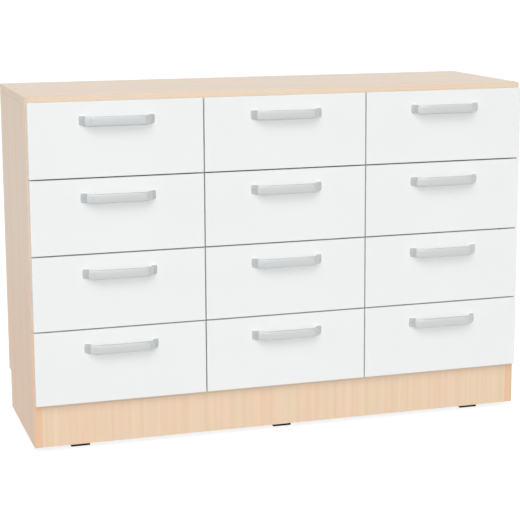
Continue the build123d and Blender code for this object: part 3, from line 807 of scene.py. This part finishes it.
class CHEST_OT_slides(bpy.types.Operator):
    """Rolls the cabinet and middle members of the slides, with their cages and balls"""
    bl_idname = "chest.slides"
    bl_label = "Slides"

    def execute(self, context):
        steel = zinc_steel()
        start = board_mm("cabinet_slides")[0].y
        outer = runner_member(10.6, 45.0, 1.6, (
            (15, 0, 6, 6), (37, 0, 4, 4), (72, 0, 16, 5), (120, 0, 34, 10), (120, 14, 20, 4),
            (120, -14, 20, 4), (175, 0, 8, 8), (230, 0, 34, 10), (230, 14, 20, 4), (230, -14, 20, 4),
            (280, 0, 16, 5), (313, 0, 4, 4), (337, 0, 6, 6)))
        middle = runner_member(7.6, 34.0, 1.6, (
            (18, 0, 12, 6), (72, 0, 30, 9), (140, 0, 30, 9), (210, 0, 30, 9), (278, 0, 30, 9),
            (332, 0, 12, 6)))
        # Each middle member has four ball cages, as (height from its middle, front end)
        cages, cage_x, first_ball = ((19.15, start + 187), (13.65, start + 12)), 7.3, 6.5
        half_width, cage_length, half_wall = 1.5, 151, 0.4
        balls = {"Diameter": 4.1, "Pitch": 10.6, "Balls": 14, "Finish": steel}
        pair = [(0, 0, 0), (0, HALF_TURN, 0)]
        places, screw_places, screw_turns = [], [], []
        for tag in TAGS:
            height, sides = runner_height(tag), walls(tag)
            places += [(wall, start, height) for wall, into in sides]
            for wall, into in sides:
                screw_places += [(wall + into * STRIP, start + y, height) for y in SLIDE_SCREWS]
                screw_turns += [(0, into * QUARTER, 0)] * len(SLIDE_SCREWS)
            form = bmesh.new()
            middle_places = [(wall + into * 3.0, start, height) for wall, into in sides]
            form.from_mesh(set_copies(middle.copy(), middle_places, pair, steel))
            rows = []
            for wall, into in sides:
                x = wall + into * cage_x
                for rise, y in cages:
                    for z in (height - rise, height + rise):
                        add_board(form, (x - half_width, y, z - half_wall),
                                  (x + half_width, y + cage_length, z + half_wall), edge=0.15)
                        rows.append((x, y + first_ball, z))
            form.from_mesh(grow(balls_tree(), rows, balls))
            finish_piece(f"middle_runners_{tag}", form, steel, f"slide_{tag}", "slide_steel",
                         f"slide_middle_{tag}")
        members = set_copies(outer, places, pair * len(TAGS), steel)
        finish_piece("cabinet_runners", members, steel, "carcass", "slide_steel", "cabinet_slides")
        screws = set_copies(cross_screw(*CABINET_SLIDE_SCREW), screw_places, screw_turns, steel)
        finish_piece("cabinet_runner_screws", screws, steel, "carcass", "fitting_steel", "carcass_fittings")
        return {"FINISHED"}


class CHEST_OT_fittings(bpy.types.Operator):
    """Makes the cams, bolts and dowels that hold the boards together"""
    bl_idname = "chest.fittings"
    bl_label = "Cams, bolts and dowels"

    def execute(self, context):
        steel, beech = zinc_steel(), beech_dowel()
        top = board_mm("top_board")[0].z
        floor_low, floor_high = board_mm("bottom_board")
        plinth_low, plinth_high = board_mm("plinth_board")
        floor_z, plinth = (floor_low.z + floor_high.z) / 2, (plinth_low + plinth_high) / 2
        # Bolts as (point on the joint, thread's direction, cam's open side), dowels as (point, direction)
        bolts, dowels = [], []
        for name in UPRIGHTS:
            low, high = board_mm(name)
            x = (low.x + high.x) / 2
            inwards = Vector((math.copysign(1, -x), 0, 0))
            bolts += [((x, y, top), UP, inwards) for y in BOLTS_Y]
            dowels.append(((x, DOWEL_Y, top), UP))
            if name.startswith("partition"):
                bolts += [((x, y, floor_high.z), -UP, inwards) for y in BOLTS_Y]
                dowels.append(((x, DOWEL_Y, floor_high.z), -UP))
            else:
                face = x + HALF_BOARD * inwards.x
                bolts += [((face, y, floor_z), -inwards, -UP) for y in BOLTS_Y]
                bolts.append(((face, plinth.y, plinth.z), -inwards, Vector((0, 1, 0))))
                dowels.append(((face, DOWEL_Y, floor_z), -inwards))
        dowels += [((x, plinth.y, plinth_high.z), UP) for x in PLINTH_DOWELS_X]

        def add_fittings(name, shape, places, directions, material, slot):
            """Sets a shape at places on the carcass, its own axis turned to the directions."""
            made = set_copies(shape, places, [turn_to(direction) for direction in directions], material)
            finish_piece(name, made, material, "carcass", slot, "carcass_fittings")

        cam_height, cam_reach = 12.5, 24
        cam = cross_screw(7.5, cam_height, 7.5, 0, recess=0.3)
        points, threads, openings = zip(*bolts)
        cam_places = [Vector(point) - (cam_height - HALF_BOARD) * opening - cam_reach * thread
                      for point, thread, opening in bolts]
        add_fittings("cam_housings", cam, cam_places, openings, steel, "fitting_steel")

        profile = [(2.0, -16.4), (3.3, -15.4), (3.3, -13.6), (2.1, -12.6), (2.1, -9.2), (3.5, -8.6),
                   (3.5, -0.6), (3.1, 0)]
        for turn in range(5):
            profile += [(2.1, 0.5 + 2 * turn), (2.9, 1.5 + 2 * turn)]
        bolt = bmesh.new()
        add_turned(bolt, profile + [(2.0, 10.3), (0.8, 11)], 12)
        add_fittings("cam_bolts", bolt, points, threads, steel, "fitting_steel")

        flutes = (0.9, 1) * 12
        dowel = bmesh.new()
        add_rings(dowel, [[Vector((share * point.x, share * point.y, height))
                           for share, point in zip(flutes, turned(radius, height, len(flutes)))]
                          for radius, height in ((3.2, -24), (4, -22.6), (4, 9.6), (3.2, 11))])
        add_fittings("fluted_dowels", dowel, *zip(*dowels), beech, "carcass_laminate")
        return {"FINISHED"}


class CHEST_OT_feet(bpy.types.Operator):
    """Moulds the ribbed leg sockets and the square feet whose stems screw into them"""
    bl_idname = "chest.feet"
    bl_label = "Legs and feet"

    def execute(self, context):
        plastic = black_plastic()
        under = board_mm("bottom_board")[0].z

        def add_six(name, form, body, node):
            """Sets a form at the places of the six feet."""
            places = [(x, y, 0) for y in FEET_Y for x in FEET_X]
            made = set_copies(form, places, [(0, 0, 0)] * len(places), plastic)
            finish_piece(name, made, plastic, body, "black_plastic", node)

        form = bmesh.new()
        add_turned(form, [(15.1, 74.3), (15.1, 12.3), (19.4, 12.3), (20, 13), (20, 18.4), (19.4, 19),
                          (17.4, 19.6), (17.4, under - 2)], 40)
        flange = 24
        add_plate(form, flange, 6, 5, ((flange - 0.48, under - 4), (flange, under - 3.5), (flange, under)))
        add_turned(form, [(5, under - 0.5), (5, under + 8.8), (4.2, under + 10)], 20)
        ribs = {"Ribs": 8, "Radius": 18.4, "Depth": 3.2, "Width": 2.0, "Height": under - 19.5,
                "Finish": plastic}
        form.from_mesh(grow(ribs_tree(), [(0, 0, (under + 16) / 2)], ribs))
        add_six("leg_sockets_ribbed", form, "carcass", "leg_sockets")

        form = bmesh.new()
        half = context.scene.chest_feet.foot_size / MM / 2
        add_plate(form, half, 1.4, 4, (
            (half - 0.6, 0), (half - 0.2, 0.15), (half, 0.6), (half, 9.4), (half - 0.25, 10),
            (half - 2.2, 11.6), (half - 3, 12)))
        # The stem's thread, a screw surface from the plate to the stem's end
        crest, root, pitch, steps, low, high = 15.0, 14.0, 3.0, 24, 11.2, 73.7
        rings = []
        for row in range(int((high - low) / pitch * 4) + 1):
            height = low + row * pitch / 4
            phases = [(height / pitch - i / steps) % 1 for i in range(steps)]
            reaches = [root + (crest - root) * (1 - abs(2 * phase - 1)) for phase in phases]
            rings.append([Vector((reach * point.x, reach * point.y, height))
                          for reach, point in zip(reaches, turned(1, height, steps))])
        add_rings(form, rings)
        add_six("square_feet", form, "feet", "levelling_feet")
        return {"FINISHED"}


class CHEST_OT_stage(bpy.types.Operator):
    """Makes the floor, the even white room, the lamps and the camera"""
    bl_idname = "chest.stage"
    bl_label = "Floor, light and camera"

    def execute(self, context):
        scene = context.scene
        studio = scene.chest_studio
        scene.view_settings.view_transform = "Standard"
        white = colour("FFFFFF")

        bpy.ops.mesh.primitive_plane_add(size=60)
        floor = context.object
        floor.name = "studio_floor"
        material = blank_material("white_studio_floor")
        tree = material.node_tree
        matt = add_node(tree, "ShaderNodeBsdfDiffuse", {"Color": studio.floor})
        strength = maths(tree, "MULTIPLY", seen_directly(tree), studio.floor_lift)
        lift = add_node(tree, "ShaderNodeEmission", {"Color": white, "Strength": strength})
        both = add_node(tree, "ShaderNodeAddShader", {0: matt.outputs[0], 1: lift.outputs[0]})
        add_node(tree, "ShaderNodeOutputMaterial", {"Surface": both.outputs[0]})
        floor.data.materials.append(material)

        scene.world = bpy.data.worlds.new("white_room")
        scene.world.use_nodes = True
        tree = scene.world.node_tree
        tree.nodes.clear()
        strength = between(tree, seen_directly(tree), studio.sky, 1.0)
        room = add_node(tree, "ShaderNodeBackground", {"Color": white, "Strength": strength})
        add_node(tree, "ShaderNodeOutputWorld", {"Surface": room.outputs[0]})

        def add_lamp(name, kind, power):
            """Adds a lamp. Only the front one makes highlights: the white room stands for the rest."""
            lamp = linked(name, bpy.data.lights.new(name, kind))
            lamp.data.energy = power
            lamp.visible_glossy = name == "front_lamp"
            return lamp

        def aimed(turn, rise):
            """The direction at an angle from +Y towards +X and at an angle above the level."""
            return Vector((math.sin(turn) * math.cos(rise), math.cos(turn) * math.cos(rise), math.sin(rise)))

        low_height, back_height = math.radians(9), QUARTER / 2
        for name, power, side, height in (("front_lamp", studio.key, studio.key_side, studio.key_height),
                                          ("left_lamp", studio.side_fill, QUARTER, low_height),
                                          ("right_lamp", studio.side_fill, -QUARTER, low_height),
                                          ("back_lamp", studio.back_fill, HALF_TURN, back_height)):
            lamp = add_lamp(name, "SUN", power)
            lamp.data.angle = studio.key_width
            lamp.rotation_mode = "QUATERNION"
            lamp.rotation_quaternion = aimed(side, -height).to_track_quat("-Z", "Y")

        # A lamp behind the camera, whose light doesn't weaken with distance
        lamp = add_lamp("camera_lamp", "POINT", studio.fill * 4 * math.pi)
        lamp.location = Vector(studio.eye) * 2 - Vector((studio.eye[0] / 2, 0, 0.45))
        lamp.data.shadow_soft_size = 0.5
        lamp.data.use_nodes = True
        tree = lamp.data.node_tree
        tree.nodes.clear()
        even = add_node(tree, "ShaderNodeLightFalloff", {"Strength": 1.0})
        glow = add_node(tree, "ShaderNodeEmission", {"Strength": even.outputs["Constant"]})
        add_node(tree, "ShaderNodeOutputLight", {"Surface": glow.outputs[0]})

        ahead = aimed(studio.yaw, -studio.pitch)
        level = aimed(studio.yaw + QUARTER, 0)
        right = (level * math.cos(studio.roll) + level.cross(ahead) * math.sin(studio.roll)).normalized()
        up = right.cross(ahead)
        camera = linked("photo_camera", bpy.data.cameras.new("photo_camera"))
        camera.data.lens = studio.lens
        camera.data.sensor_width = 36
        camera.data.shift_x, camera.data.shift_y = studio.shift
        camera.data.clip_end = 100
        camera.matrix_world = (Matrix.Translation(studio.eye)
                               @ Matrix((right, up, -ahead)).transposed().to_4x4())
        scene.camera = camera
        return {"FINISHED"}


OPERATORS = (CHEST_OT_boards, CHEST_OT_fronts, CHEST_OT_handles, CHEST_OT_boxes, CHEST_OT_slides,
             CHEST_OT_fittings, CHEST_OT_feet, CHEST_OT_stage)


class CHEST_PT_panel(bpy.types.Panel):
    """Lists the finishes and the steps that make the chest"""
    bl_idname = "CHEST_PT_panel"
    bl_label = "Chest of drawers"
    bl_space_type = "VIEW_3D"
    bl_region_type = "UI"
    bl_category = "Chest"

    def draw(self, context):
        for name in GROUPS:
            group = getattr(context.scene, name)
            box = self.layout.box()
            for key in group.bl_rna.properties.keys():
                if key not in ("rna_type", "name"):
                    box.prop(group, key)
        for operator in OPERATORS:
            self.layout.operator(operator.bl_idname)


GROUPS = {"chest_boards": BoardFinish, "chest_fronts": FrontFinish, "chest_metals": MetalFinish,
          "chest_handles": HandleSizes, "chest_feet": FootSizes, "chest_studio": Studio}


def register():
    for group in (*GROUPS.values(), *OPERATORS, CHEST_PT_panel):
        bpy.utils.register_class(group)
    for name, group in GROUPS.items():
        setattr(bpy.types.Scene, name, PointerProperty(type=group))


def unregister():
    for name in GROUPS:
        delattr(bpy.types.Scene, name)
    for group in reversed((*GROUPS.values(), *OPERATORS, CHEST_PT_panel)):
        bpy.utils.unregister_class(group)


def main():
    register()
    bpy.ops.chest.boards()
    bpy.ops.chest.fronts()
    bpy.ops.chest.handles()
    bpy.ops.chest.boxes()
    bpy.ops.chest.slides()
    bpy.ops.chest.fittings()
    bpy.ops.chest.feet()
    bpy.ops.chest.stage()


if __name__ == "__main__":
    main()
